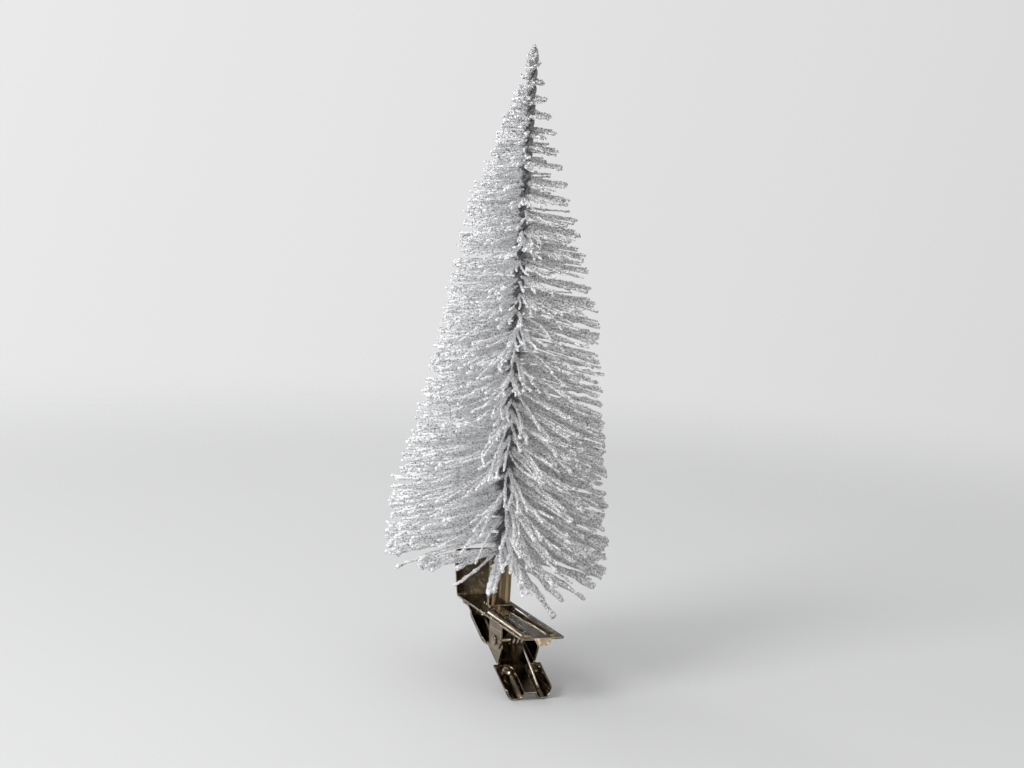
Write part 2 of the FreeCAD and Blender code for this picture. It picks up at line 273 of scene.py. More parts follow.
@dataclass(frozen=True)
class GlitterCoat:
    """Silver glitter glued over a filament or a wire."""

    name: str
    dark: Triple
    light: Triple
    speck: Triple = (0.10, 0.10, 0.105)
    speck_share: float = 0.17
    # More dark specks on the side away from the key light, as painted shade.
    shaded_side_specks: float = 0.2
    upper_shaded_side_specks: float = 0.34
    upper_part: tuple[float, float] = (80 * MM, 120 * MM)
    top_specks: float = 0.14
    top_part: tuple[float, float] = (128 * MM, 156 * MM)
    cloud_scale: float = 260
    cloud_share: float = 0.25
    # Colour of the bare roots near the stem, which also stands as painted shade deep in the brush, and how
    # far it reaches.
    root: Triple = (0.13, 0.13, 0.135)
    bare_and_shaded: float = 0.45
    bare_shade_reach: tuple[float, float] = (1.35 * MM, 5.0 * MM)
    crown: tuple[float, float] = (158 * MM, 162 * MM)
    crown_roots: float = 0.2
    # Painted shade: a darker tone mixed in on the side away from the key light, its share, and that side's
    # heading and cosine span.
    shade_tone: Triple = (0.41, 0.405, 0.38)
    shade_tone_share: float = 0.38
    shaded_side: Triple = (0.92, -0.39, 0)
    shaded_side_cosines: tuple[float, float] = (-0.1, 0.8)
    # Painted light: strength of a faint emission of the coat's own colour, which lifts the shade.
    glow: float = 0.155
    metallic: float = 0.05
    roughness: float = 0.45
    facet: float = 0.26 * MM
    tilt: float = 0.6

    def shaded_side_share(self, graph: Graph, place: Socket) -> Socket:
        """How far a place is on the side away from the key light, where the coat gets painted shade: 0 on the
        lit side, 1 on the other.

        It is the cosine between the heading from the stem and the shaded side's heading, carried from its
        span.

        Args:
            graph: The material's graph.
            place: Coordinates.

        Returns:
            The socket of the share.
        """
        heading = graph.vector("NORMALIZE", graph.from_stem(place))
        cosine = graph.vector("DOT_PRODUCT", heading, self.shaded_side)
        return graph.span(cosine, *self.shaded_side_cosines, 0, 1)

    def cover_and_core_shade(self, graph: Graph, place: Socket) -> Socket:
        """How far the glitter covers a place and the painted shade near the stem fades: 0 on the bare, shaded
        roots at the stem, 1 outside their reach.

        It is the distance from the stem over the roots' reach, which grows down the brush and shrinks on
        the crown.

        Args:
            graph: The material's graph.
            place: Coordinates.

        Returns:
            The socket of the cover.
        """
        height = graph.height(place)
        base, peak = self.crown
        reach = graph.span(height, base, BRUSH_BOTTOM, *self.bare_shade_reach)
        reach = graph.reckon("MULTIPLY", reach, graph.span(height, peak, base, self.crown_roots, 1))
        distance = graph.vector("LENGTH", graph.from_stem(place))
        return graph.span(graph.reckon("DIVIDE", distance, reach), self.bare_and_shaded, 1, 0, 1)

    def specks(self, graph: Graph, place: Socket, other: Socket, shaded_side: Socket) -> Socket:
        """Which facets are dark specks: those whose random value, raised on the shaded side as painted shade
        and on the top, is high.

        Args:
            graph: The material's graph.
            place: Coordinates.
            other: A random value for each facet.
            shaded_side: Share of the side away from the key light, where specks are raised as painted shade.

        Returns:
            The socket of the specks, 0 or 1 but for a narrow edge.
        """
        height = graph.height(place)
        upper = graph.span(height, *self.upper_part, self.shaded_side_specks, self.upper_shaded_side_specks)
        raised = graph.reckon("ADD", other, graph.reckon("MULTIPLY", shaded_side, upper))
        raised = graph.reckon("ADD", raised, graph.span(height, *self.top_part, 0, self.top_specks))
        edge = 1 - self.speck_share
        return graph.span(raised, edge - 0.02, edge + 0.02, 0, 1)

    def make(self) -> bpy.types.Material:
        """Build the material: facets of many tones with dark specks, painted shade on the side away from the
        key light and near the stem, where the roots are also bare, and a faint emission as painted light.
        """
        graph = material_graph(self.name)
        place = graph.place()
        normal, chance, other = glitter_cells(graph, place, self.facet, self.tilt)
        colour = graph.blend(graph.span(chance, 0.15, 0.9, 0, 1), self.dark, self.light)
        cloud = graph.span(graph.noise(place, self.cloud_scale, 4), 0.35, 0.7, 0, self.cloud_share)
        colour = graph.blend(cloud, colour, self.dark)
        shaded_side = self.shaded_side_share(graph, place)
        colour = graph.blend(self.specks(graph, place, other, shaded_side), colour, self.speck)
        # Painted shade on the side away from the key light.
        colour = graph.blend(graph.reckon("MULTIPLY", shaded_side, self.shade_tone_share), colour, self.shade_tone)
        # Painted shade near the stem, in the colour of the bare roots.
        colour = graph.blend(self.cover_and_core_shade(graph, place), self.root, colour)
        rough = graph.span(chance, 0, 1, self.roughness + 0.15, self.roughness - 0.15)
        return graph.show(graph.add("BsdfPrincipled", {
            "Base Color": colour,
            "Emission Color": colour,
            # Painted light: a faint emission of the coat's colour.
            "Emission Strength": self.glow,
            "Roughness": rough,
            "Normal": normal,
            "Metallic": self.metallic,
        }))


@dataclass(frozen=True)
class FlakeFoil:
    """Foil of the loose glitter flakes."""

    name: str
    colour: Triple = (0.89, 0.89, 0.895)
    dull: Triple = (0.10, 0.102, 0.105)
    dull_share: float = 0.2
    # Painted light: strength of a faint emission that lifts the flakes in shade.
    glow: float = 0.13
    metallic: float = 0.25
    roughness: float = 0.42
    cell: float = 0.3 * MM

    def make(self) -> bpy.types.Material:
        """Build the material: bright foil with dull flakes among it, a polish that changes by cells, and a
        faint emission as painted light.
        """
        graph = material_graph(self.name)
        cells = graph.add("TexVoronoi", {"Vector": graph.place(), "Scale": 1 / self.cell}).outputs["Color"]
        channels = graph.add("SeparateColor", {0: cells}).outputs
        edge = 1 - self.dull_share
        dull = graph.span(channels["Red"], edge - 0.05, edge + 0.05, 0, 1)
        colour = graph.blend(dull, self.colour, self.dull)
        rough = graph.span(channels["Blue"], 0, 1, self.roughness * 0.6, self.roughness * 1.8)
        return graph.show(graph.add("BsdfPrincipled", {
            "Base Color": colour,
            "Emission Color": colour,
            "Emission Strength": self.glow,
            "Roughness": rough,
            "Metallic": self.metallic,
        }))


@dataclass(frozen=True)
class PlatedMetal:
    """Warm plate over steel, tarnished in clouds and spots, with drag lines, painted reflection streaks and
    painted highlights on its edges.
    """

    name: str
    bright: Triple
    tarnish: Triple
    # Colour painted on sharp edges as a highlight.
    edge: Triple
    # Colour of the painted reflection streaks along the strip.
    reflection_streak: Triple = (0.58, 0.41, 0.2)
    roughness: float = 0.08
    edge_reach: float = 0.2 * MM
    grain: Triple = (1, 0.06, 1)
    cloud_scale: float = 190
    spot_scale: float = 900
    line_scale: float = 5200
    reflection_streak_scale: float = 1100
    line_depth: float = 0.02 * MM
    line_strength: float = 0.12

    def painted_edge_highlights(self, graph: Graph) -> tuple[Socket, Socket]:
        """Find the edges: there the normal of the surface turns away from that of a rounded one.

        Args:
            graph: The material's graph.

        Returns:
            The socket of the rounded normal and that of the painted edge highlight, 1 on sharp edges.
        """
        rounded = graph.add("Bevel", {"Radius": self.edge_reach}, samples=6).outputs["Normal"]
        surface = graph.add("NewGeometry").outputs["Normal"]
        match = graph.vector("DOT_PRODUCT", rounded, surface)
        return rounded, graph.span(match, 0.97, 0.8, 0, 1)

    def make(self) -> bpy.types.Material:
        """Build the material: tarnish, broad streaks of painted reflection and fine drag lines along the
        strip, painted highlights on the edges.
        """
        graph = material_graph(self.name)
        place = graph.place()
        along = graph.place(self.grain)
        cloud = graph.noise(place, self.cloud_scale, 5)
        spots = graph.span(graph.noise(place, self.spot_scale, 2), 0.62, 0.75, 0, 0.35)
        lines = graph.noise(along, self.line_scale, 3)
        reflection_streaks = graph.span(graph.noise(along, self.reflection_streak_scale, 2), 0.52, 0.7, 0, 0.6)
        tone = graph.reckon("ADD", graph.span(cloud, 0.35, 0.68, 0, 0.8), spots)
        colour = graph.blend(tone, self.bright, self.tarnish)
        # Painted reflection: broad bright streaks along the strip.
        colour = graph.blend(reflection_streaks, colour, self.reflection_streak)
        rounded, edge_highlight = self.painted_edge_highlights(graph)
        # Painted highlight on the sharp edges.
        colour = graph.blend(edge_highlight, colour, self.edge)
        bump = graph.add("Bump", {
            "Strength": self.line_strength, "Distance": self.line_depth, "Height": lines, "Normal": rounded
        })
        haze = graph.span(cloud, 0.3, 0.75, self.roughness, self.roughness + 0.12)
        rough = graph.reckon("ADD", haze, graph.span(lines, 0.4, 0.7, 0, 0.06))
        return graph.show(graph.add("BsdfPrincipled", {
            "Metallic": 1, "Base Color": colour, "Roughness": rough, "Normal": bump
        }))


@dataclass(frozen=True)
class PaleFloor:
    """Plain pale board that fades out towards its rim."""

    name: str
    height: float
    colour: Triple = (0.52, 0.52, 0.518)
    mottling: float = 0.985
    mottling_scale: float = 9
    fade_from: float = 0.30
    fade_to: float = 0.62

    def make(self) -> bpy.types.Material:
        """Build the material: a matte board with faint mottling and a see-through rim."""
        graph = material_graph(self.name)
        place = graph.place(shift=(0, 0, -self.height))
        lower = tuple(self.mottling * part for part in self.colour)
        tone = graph.blend(graph.noise(place, self.mottling_scale, 2), self.colour, lower)
        board = graph.add("BsdfPrincipled", {
            "Base Color": tone, "Roughness": 0.6, "Specular IOR Level": 0.25
        })
        fade = graph.add("MapRange", {
            "Value": graph.vector("LENGTH", place), "From Min": self.fade_from, "From Max": self.fade_to
        }, interpolation_type="SMOOTHSTEP")
        clear = graph.add("BsdfTransparent")
        return graph.show(graph.add("MixShader", {0: fade, 1: board, 2: clear}))


# Surfaces


@dataclass
class Surface:
    """A mesh as whole arrays: vertices, the corners of all faces in a row, and each face's corner count."""

    points: np.ndarray
    corners: np.ndarray
    sizes: np.ndarray

    def piece(self, name: str, material: bpy.types.Material, smooth: bool = True) -> bpy.types.Object:
        """Make the surface an object of the scene.

        Args:
            name: Name of the object and of its mesh.
            material: Material of the whole piece.
            smooth: Whether the faces are shaded smooth.

        Returns:
            The object.
        """
        mesh = bpy.data.meshes.new(name)
        mesh.vertices.add(len(self.points))
        mesh.vertices.foreach_set("co", np.ascontiguousarray(self.points, np.float32).ravel())
        mesh.loops.add(len(self.corners))
        mesh.loops.foreach_set("vertex_index", np.ascontiguousarray(self.corners, np.int32))
        mesh.polygons.add(len(self.sizes))
        starts = np.concatenate(([0], np.cumsum(self.sizes)[:-1]))
        mesh.polygons.foreach_set("loop_start", np.ascontiguousarray(starts, np.int32))
        mesh.polygons.foreach_set("use_smooth", np.full(len(self.sizes), smooth))
        mesh.update(calc_edges=True)
        mesh.validate()
        piece = bpy.data.objects.new(name, mesh)
        bpy.context.scene.collection.objects.link(piece)
        dress(piece, material)
        return piece


def dress(piece: bpy.types.Object, material: bpy.types.Material) -> None:
    """Put one material on the whole piece."""
    piece.data.materials.clear()
    piece.data.materials.append(material)


def unit(vectors: np.ndarray) -> np.ndarray:
    """Vectors along the last axis made one long."""
    return vectors / np.maximum(np.linalg.norm(vectors, axis=-1, keepdims=True), 1e-12)


def ring_faces(rings: int, sides: int) -> tuple[np.ndarray, np.ndarray, np.ndarray]:
    """Faces of a row of rings: four-cornered ones between two rings, and a fan from a pole at each end.

    Corner k of ring i is vertex i times sides plus k. The near pole and the far pole follow the last ring.

    Args:
        rings: Number of rings.
        sides: Corners of a ring.

    Returns:
        The corners of the faces between rings, of the near fan and of the far fan.
    """
    i, k = np.meshgrid(np.arange(rings - 1), np.arange(sides), indexing="ij")
    j = (k + 1) % sides
    between = np.stack([i * sides + k, (i + 1) * sides + k, (i + 1) * sides + j, i * sides + j], -1)
    k = np.arange(sides)
    j = (k + 1) % sides
    last = (rings - 1) * sides
    near = np.stack([np.full(sides, rings * sides), k, j], -1)
    far = np.stack([np.full(sides, rings * sides + 1), last + j, last + k], -1)
    return between.reshape(-1, 4), near, far


def strand_tubes(lines: np.ndarray, radii: np.ndarray, tip: np.ndarray) -> tuple[Surface, np.ndarray]:
    """Closed tubes round many lines at once.

    A ring round each line point is the point plus radius times (cosine times one cross direction minus
    sine times the other), where the cross directions stand square to the line's heading. A pole closes
    both ends.

    Args:
        lines: Centre lines, strands by stations by 3.
        radii: Radius at every ring corner, strands by stations by sides.
        tip: How far the far pole stands past the last ring, one per strand.

    Returns:
        The surface, and the outward directions at the ring corners.
    """
    strands, stations, sides = radii.shape
    heading = unit(np.gradient(lines, axis=1))
    steep = np.abs(heading[..., 2:3]) > 0.9
    guide = np.where(steep, np.array([1.0, 0, 0]), np.array([0, 0, 1.0]))
    across = unit(np.cross(heading, guide))
    over = np.cross(across, heading)
    turn = TURN * np.arange(sides) / sides
    outward = across[:, :, None] * np.cos(turn)[:, None] - over[:, :, None] * np.sin(turn)[:, None]
    rings = lines[:, :, None] + outward * radii[..., None]
    near = lines[:, 0]
    far = lines[:, -1] + heading[:, -1] * tip[:, None]
    points = np.concatenate([rings.reshape(strands, -1, 3), near[:, None], far[:, None]], 1)
    between, *fans = ring_faces(stations, sides)
    caps = np.concatenate(fans)
    base = (stations * sides + 2) * np.arange(strands)[:, None]
    corners = np.concatenate([between.reshape(1, -1) + base, caps.reshape(1, -1) + base], 1).ravel()
    sizes = np.tile(np.concatenate([np.full(len(between), 4), np.full(len(caps), 3)]), strands)
    return Surface(points.reshape(-1, 3), corners, sizes), outward


def flake_field(
    centres: np.ndarray, facing: np.ndarray, reach: np.ndarray, chance: np.random.Generator
) -> Surface:
    """Flat three-cornered flakes, as crushed glitter has.

    Each corner is the centre plus reach times (cosine times one direction in the flake's plane plus
    sine times the other), with the flake turned at random in its plane and its corners unevenly long.

    Args:
        centres: Flake centres, N by 3.
        facing: Unit normals, N by 3.
        reach: Centre to corner, N.
        chance: Random source.

    Returns:
        The surface.
    """
    count = len(centres)
    guide = unit(chance.normal(size=(count, 3)))
    one = unit(np.cross(facing, guide))
    two = np.cross(facing, one)
    turn = TURN * np.arange(3) / 3
    uneven = np.array([1.0, 0.85, 0.7])[:, None]
    spread = (one[:, None] * np.cos(turn)[:, None] + two[:, None] * np.sin(turn)[:, None]) * uneven
    points = centres[:, None] + spread * reach[:, None, None]
    return Surface(points.reshape(-1, 3), np.arange(count * 3), np.full(count, 3))


# The brush


@dataclass
class Clumps:
    """Clumps of filaments that leave the stem together: their place, heading and habit, one value each."""

    height: np.ndarray
    turn: np.ndarray
    depth: np.ndarray
    off: np.ndarray
    aside: np.ndarray
    ruffle: np.ndarray
    calm: np.ndarray
    droop: np.ndarray
    fan: np.ndarray

    def of(self, owner: np.ndarray) -> "Clumps":
        """The clumps' values carried to the filaments, given the number of each one's clump."""
        return Clumps(**{key: value[owner] for key, value in vars(self).items()})


@dataclass
class Strands:
    """Filaments: centre lines, strands by stations by 3, with each one's thickness and depth."""

    lines: np.ndarray
    thick: np.ndarray
    depth: np.ndarray

    def with_more(self, more: "Strands") -> "Strands":
        """These filaments followed by more of them."""
        pairs = zip(vars(self).values(), vars(more).values())
        return Strands(*(np.concatenate(pair) for pair in pairs))


@dataclass
class Brush:
    """The glitter-coated filaments, locked between two twisted wires.

    Depth is 0 at the apex and 1 at the lowest turn. Headings are radians about the stem: front is the
    heading of the open parting, ruffled that of the thick side and droopy that of the hanging side.
    Droops are degrees below the level.
    """

    bottom: float = BRUSH_BOTTOM
    top: float = 164.0 * MM
    radius: float = 31.1 * MM
    full_depth: float = 136 * MM
    bulge: float = 0.5
    tip_radius: float = 1.5 * MM
    crown: float = 161.3 * MM
    crown_zone: float = 6 * MM
    crown_rise: float = 52
    pitch: float = 9 * MM
    root: float = 0.36 * MM
    root_bend: float = 1.7 * MM
    droop_top: float = 2.0
    droop_skirt: float = 8.5
    lopsided: float = 6.5
    parting: float = math.radians(26) * 1.6
    gather: float = 0.95
    clumps_per_turn: int = 46
    filaments_per_clump: float = 2.4
    filament: float = 0.235 * MM
    stations: int = 17
    sides: int = 4
    flakes_per_metre: float = 7600
    flake_reach: tuple[float, float] = (0.14, 0.31)
    flake_lift: float = 1.02
    knot_share: float = 0.06
    knot: float = 1.4
    short_share: float = 0.06
    front: float = math.radians(-113)
    droopy: float = math.radians(-58)
    ruffled: float = math.radians(157)
    clearing: float = math.radians(62)
    hanging: float = 0.93
    seed: int = 7
    bands: dict[str, tuple[float, float]] = field(default_factory=lambda: {
        "skirt": (0.0, 0.15),
        "lower": (0.15, 0.34),
        "middle": (0.34, 0.53),
        "upper": (0.53, 0.72),
        "top": (0.72, 0.90),
        "tip": (0.90, 1.0),
    })

    def reach(self, height: np.ndarray) -> np.ndarray:
        """Radius of the brush: radius times depth times (1 + bulge times (1 - depth)), a bulged cone."""
        depth = np.clip((self.top - height) / self.full_depth, 0, 1)
        return np.maximum(self.radius * depth * (1 + self.bulge * (1 - depth)), self.tip_radius)

    def unevenness(self, turn: np.ndarray, depth: np.ndarray) -> np.ndarray:
        """Share by which a real brush departs from the even cone: its girth, plus its lean times a cosine.

        Args:
            turn: Heading of a filament.
            depth: Its depth.

        Returns:
            Factor on the filament's length.
        """
        places = (0, 0.2, 0.29, 0.39, 0.48, 0.58, 0.67, 0.76, 0.86, 1)
        girth = np.interp(depth, places, (0, -0.04, 0.05, 0.05, 0.02, 0, -0.03, -0.03, -0.01, -0.01))
        lean = np.interp(depth, places, (0, 0.03, 0.05, 0, -0.06, -0.055, -0.03, 0, 0.05, 0.06))
        return 1 + girth + lean * np.cos(turn - self.ruffled)

    def shares(self) -> np.ndarray:
        """Places of the rings along a filament: even, then close together at the cut tip."""
        even = np.linspace(0, 0.95, self.stations - 2)
        return np.concatenate([even, [0.975, 1.0]])[None, :]

    def clumps(self, low: float, high: float, chance: np.random.Generator) -> Clumps:
        """Draw the clumps of one band.

        A clump's height is an even step plus a random part of a step. Its turn is the helix's there, or
        half a turn more for the other gap between the wires, and near the front it moves to the side by
        the parting times the sine of the angle off the front. Its droop grows with the square of depth and
        with the cosine to the droopy heading, and turns upwards at the crown. The fan lifts or lowers it
        at random, and away from the ruffled side it gathers the clumps of one turn to one height.

        Args:
            low: Share of the brush's height where the band starts.
            high: Share where it ends.
            chance: Random source.

        Returns:
            The clumps.
        """
        span = self.top - self.bottom
        per_metre = self.clumps_per_turn / self.pitch
        steps = int((high - low) * span * per_metre)
        count = 2 * steps
        height = self.bottom + span * (low + (high - low) * (np.arange(steps) + chance.random(steps)) / steps)
        height = np.repeat(height, 2)
        gap = np.tile([0, math.pi], steps)
        turn = TURN * (height - self.bottom) / self.pitch + gap + chance.normal(0, 0.07, count)
        depth = (self.top - height) / span
        off = (turn - self.front + math.pi) % TURN - math.pi
        parting = self.parting * (0.35 + 0.65 * (1 - depth)) * np.clip(6 * depth, 0.1, 1)
        turn = turn + parting * np.sin(off) * np.exp(-(off / 0.85) ** 2)
        ruffle = 0.5 + 0.5 * np.cos(turn - self.ruffled)
        aside = (turn - self.ruffled) % TURN - math.pi
        calm = 1 - 0.6 * np.exp(-(aside / 1.1) ** 2)
        droop = self.droop_top + (self.droop_skirt - self.droop_top) * depth**2
        droop = droop + self.lopsided * np.cos(turn - self.droopy) * (0.15 + 0.85 * depth)
        droop = droop + chance.normal(0, 1, count) * (0.4 + 3.0 * depth + 1.2 * ruffle) * calm
        droop = droop - self.crown_rise * np.clip((height - self.crown) / self.crown_zone + 1, 0, 1)
        fan = chance.normal(0, 1, count) * (0.25 + 1.35 * ruffle) * MM
        fan = fan * np.clip((1 - depth) * 6, 0, 1) * np.clip(depth * 5, 0, 1)
        gather = self.gather * self.pitch / TURN * aside * np.exp(-(aside / 2.0) ** 2)
        fan = fan - gather * np.clip(1.9 - 1.7 * depth, 0, 1)
        return Clumps(height, turn, depth, off, aside, ruffle, calm, droop, fan)

    def crowd(self, clumps: Clumps) -> np.ndarray:
        """Mean number of filaments in each clump.

        It grows with depth and towards the ruffled side and is nearly doubled at the front near the apex.
        Opposite the ruffled side it is thinned out, and so it is at the front low down.

        Args:
            clumps: The clumps.

        Returns:
            The mean numbers.
        """
        depth = clumps.depth
        crowd = self.filaments_per_clump * np.clip(0.5 + 1.2 * depth + 0.6 * clumps.ruffle, 0.5, 1.1)
        crowd = crowd * (1 + 0.9 * np.exp(-(clumps.off / 0.5) ** 2) * np.clip(1 - 5 * depth, 0, 1))
        sparse = (0.3 + 0.25 * np.clip(3 * depth, 0, 1)) * np.clip(5 - 6 * depth, 0, 1)
        sparse = sparse * np.clip(8 * depth, 0, 1)
        crowd = crowd * (1 - sparse * np.exp(-(clumps.aside / 1.3) ** 4))
        return crowd * (1 - 0.3 * np.exp(-(clumps.off / 1.2) ** 2) * np.clip(3 * depth - 1.2, 0, 1))

    def members(self, clumps: Clumps, chance: np.random.Generator) -> np.ndarray:
        """Draw how many filaments each clump has: few of the lowest in front of the clip, none on the crown.

        Args:
            clumps: The clumps.
            chance: Random source.

        Returns:
            The numbers of filaments.
        """
        members = chance.poisson(self.crowd(clumps))
        off = np.abs(clumps.off)
        hanging = (off < self.clearing) & (clumps.depth > self.hanging)
        spared = 0.22 + 0.6 * off / self.clearing
        members = np.where(hanging & (chance.random(len(off)) > spared), 0, members)
        return np.where(clumps.height > self.crown, 0, members)

    def lengths(
        self,
        own: Clumps,
        root_turn: np.ndarray,
        tip_turn: np.ndarray,
        full: np.ndarray,
        chance: np.random.Generator,
    ) -> np.ndarray:
        """Draw the filaments' lengths.

        A length is the brush's radius there times a random factor near one, and a few are cut short. Then
        follow the unevenness and the ruffled side's longer skirt. Caps hold it inside the real outline:
        a share more than the cone, and a limit on how far it may stand out along the scene's two axes.

        Args:
            own: The filaments' own clump values.
            root_turn: Their headings at the root.
            tip_turn: Their headings at the tip.
            full: Radius of the brush at their roots.
            chance: Random source.

        Returns:
            The lengths.
        """
        count = len(full)
        length = full * (1.05 - 0.035 * own.depth) * chance.normal(1, 0.02, count)
        short = chance.random(count) < self.short_share
        length = np.where(short, length * chance.uniform(0.6, 0.95, count), length)
        length = length * self.unevenness(root_turn, own.depth)
        length = length * (1 - 0.22 * self.before_plate(own))
        wide = 1.035 + 0.055 * np.clip(np.cos(root_turn - self.ruffled), 0, 1) ** 2
        level = np.maximum(np.abs(np.cos(root_turn)), np.abs(np.cos(tip_turn)))
        rear = np.clip(np.maximum(np.sin(root_turn), np.sin(tip_turn)), 0.1, 1)
        widest = self.radius * np.minimum(wide, np.minimum(1.03 / level, 1.015 / rear))
        return np.minimum(length * (1 + 0.05 * own.depth**4 * own.ruffle), np.minimum(full * 1.16, widest))

    def before_plate(self, own: Clumps) -> np.ndarray:
        """1 for the lowest filaments about half a radian left of the front, before the clip's plate."""
        lowest = np.where(own.depth > self.hanging, 1, 0)
        return lowest * np.clip(1.6 - np.abs(own.off + 0.5) / 0.3, 0, 1)

    def strands(self, low: float, high: float, chance: np.random.Generator) -> Strands:
        """Draw the filaments of one band.

        A point of a centre line stands along times (cosine, sine) of the heading off the stem, where along
        grows from the root to the length. The heading goes from the root's to the tip's, with a slow swing.
        The point falls by along times the droop's slope and by a sag that bends the filament, wavers at
        random, and rises by the clump's fan once it is clear of the wires.

        Args:
            low: Share of the brush's height where the band starts.
            high: Share where it ends.
            chance: Random source.

        Returns:
            The filaments.
        """
        clumps = self.clumps(low, high, chance)
        members = self.members(clumps, chance)
        own = clumps.of(np.repeat(np.arange(len(members)), members))
        count = len(own.depth)
        loose = 1 - np.clip((own.depth - 0.7) / 0.2, 0, 1)
        root_turn = own.turn + chance.normal(0, 0.075, count)
        tip_turn = own.turn + chance.normal(0, 1, count) * (0.03 + 0.07 * loose)
        steepest = np.radians(30 - 19 * self.before_plate(own))
        root_stray = own.calm * chance.normal(0, 1, count) * (0.9 + 2 * own.depth)
        root_droop = np.minimum(np.radians(own.droop + root_stray), steepest)
        tip_stray = own.calm * chance.normal(0, 1, count) * (0.8 + 1.1 * loose)
        tip_droop = np.minimum(np.radians(own.droop + tip_stray), steepest)
        height = own.height + chance.normal(0, 1, count) * (0.14 + 0.16 * own.depth) * MM
        length = self.lengths(own, root_turn, tip_turn, self.reach(height), chance)
        share = self.shares()
        along = self.root + (length[:, None] - self.root) * share
        pull = share**1.3
        azimuth = root_turn[:, None] * (1 - pull) + tip_turn[:, None] * pull
        azimuth = azimuth + chance.normal(0, 0.028, (count, 1)) * np.sin(share * 4.2) * share
        slope = np.tan(root_droop)[:, None] * (1 - pull) + np.tan(tip_droop)[:, None] * pull
        sag = chance.normal(0.035, 0.03, (count, 1)) * (0.3 + own.depth[:, None])
        fall = along * slope + sag * length[:, None] * (share**2 - share * 0.4)
        wave = chance.normal(0, 0.10 * MM, (count, self.stations)) * share
        wave = wave * np.minimum(length / (8 * MM), 1)[:, None]
        rise = own.fan[:, None] * np.clip(along / self.root_bend, 0, 1)
        lines = np.stack([
            along * np.cos(azimuth), STEM_Y + along * np.sin(azimuth), height[:, None] - fall + wave + rise
        ], -1)
        return Strands(lines, self.filament * chance.lognormal(0, 0.16, count), own.depth)

    def hanging_strands(self, chance: np.random.Generator) -> Strands:
        """The few stout strands that hang out of the lowest turn.

        They fall by their length times the sine of their droop, a quarter of it with the square of share.

        Args:
            chance: Random source.

        Returns:
            The strands.
        """
        toward = self.front + np.radians([-52, -33, -12, 0, 14, 36, 45, 60])
        droop = np.radians([6, 7, 19, 23, 18, 27, 20, 18])
        length = np.array([27, 23, 23, 21, 22, 28.5, 27, 29]) * MM
        stout = np.array([1.5, 1.9, 1.9, 1.8, 1.8, 2.5, 1.9, 1.6])
        count = len(toward)
        share = self.shares()
        along = length[:, None] * share * np.cos(droop)[:, None] + self.root
        fall = length[:, None] * np.sin(droop)[:, None] * (0.75 * share + 0.25 * share**2)
        azimuth = toward[:, None] + chance.normal(0, 0.05, (count, 1)) * share
        height = self.bottom + chance.uniform(0.2, 3.2, count) * MM
        lines = np.stack([
            along * np.cos(azimuth), STEM_Y + along * np.sin(azimuth), height[:, None] - fall
        ], -1)
        return Strands(lines, self.filament * stout, np.ones(count))

    def coat(self, drawn: Strands, chance: np.random.Generator) -> np.ndarray:
        """Radius of the lumpy glitter coat at every ring corner.

        The filament's own radius times a random lump per ring, now and then a knot, a smaller lump per
        corner, and a weight that is higher near the apex and down the brush. It swells towards the cut
        tip, where glue gathers.

        Args:
            drawn: The strands.
            chance: Random source.

        Returns:
            Radii, strands by stations by sides.
        """
        total, stations = drawn.lines.shape[:2]
        low = drawn.depth[:, None]
        lumps = 0.72 + 0.75 * chance.random((total, stations)) ** 1.6
        knots = np.where(chance.random((total, stations)) < self.knot_share, self.knot, 1.0)
        drop = chance.gamma(1.6, 0.2, (total, 1)) * (0.08 + 0.2 * low**6)
        drop = drop * np.clip((self.shares() - 0.94) / 0.03, 0, 1)
        skin = 1 + chance.normal(0, 0.17, (total, stations, self.sides))
        weight = 0.8 + 0.4 * np.clip(low * 1.6, 0, 1) + 0.35 * np.clip(low * 5 - 4, 0, 1)
        weight = weight + 0.35 * np.clip(1 - 4 * low, 0, 1) + 0.3 * np.clip(3 * low - 1.2, 0, 1)
        size = drawn.thick[:, None] * lumps * knots * (1 + drop) * weight
        return size[..., None] * np.clip(skin, 0.55, 1.5)

    def flakes(
        self, drawn: Strands, radii: np.ndarray, outward: np.ndarray, chance: np.random.Generator
    ) -> Surface:
        """Glitter flakes that stand on the coat at random, more of them towards the tips.

        Args:
            drawn: The strands.
            radii: Coat radii.
            outward: Outward directions at the ring corners.
            chance: Random source.

        Returns:
            The surface of all flakes.
        """
        lines = drawn.lines
        total, stations = lines.shape[:2]
        long = np.linalg.norm(np.diff(lines, axis=1), axis=-1).sum(1)
        count = int(long.sum() * self.flakes_per_metre)
        strand = chance.choice(total, count, p=long / long.sum())
        spot = chance.random(count) ** 0.8 * (stations - 1)
        lower = np.minimum(spot.astype(int), stations - 2)
        part = (spot - lower)[:, None]
        corner = chance.integers(0, self.sides, count)
        centre = lines[strand, lower] * (1 - part) + lines[strand, lower + 1] * part
        away = unit(outward[strand, lower, corner] + 0.35 * chance.normal(size=(count, 3)))
        part = part[:, 0]
        size = radii[strand, lower, corner] * (1 - part) + radii[strand, lower + 1, corner] * part
        facing = unit(away + 0.8 * chance.normal(size=(count, 3)))
        reach = chance.uniform(*self.flake_reach, count) * MM
        return flake_field(centre + away * size[:, None] * self.flake_lift, facing, reach, chance)

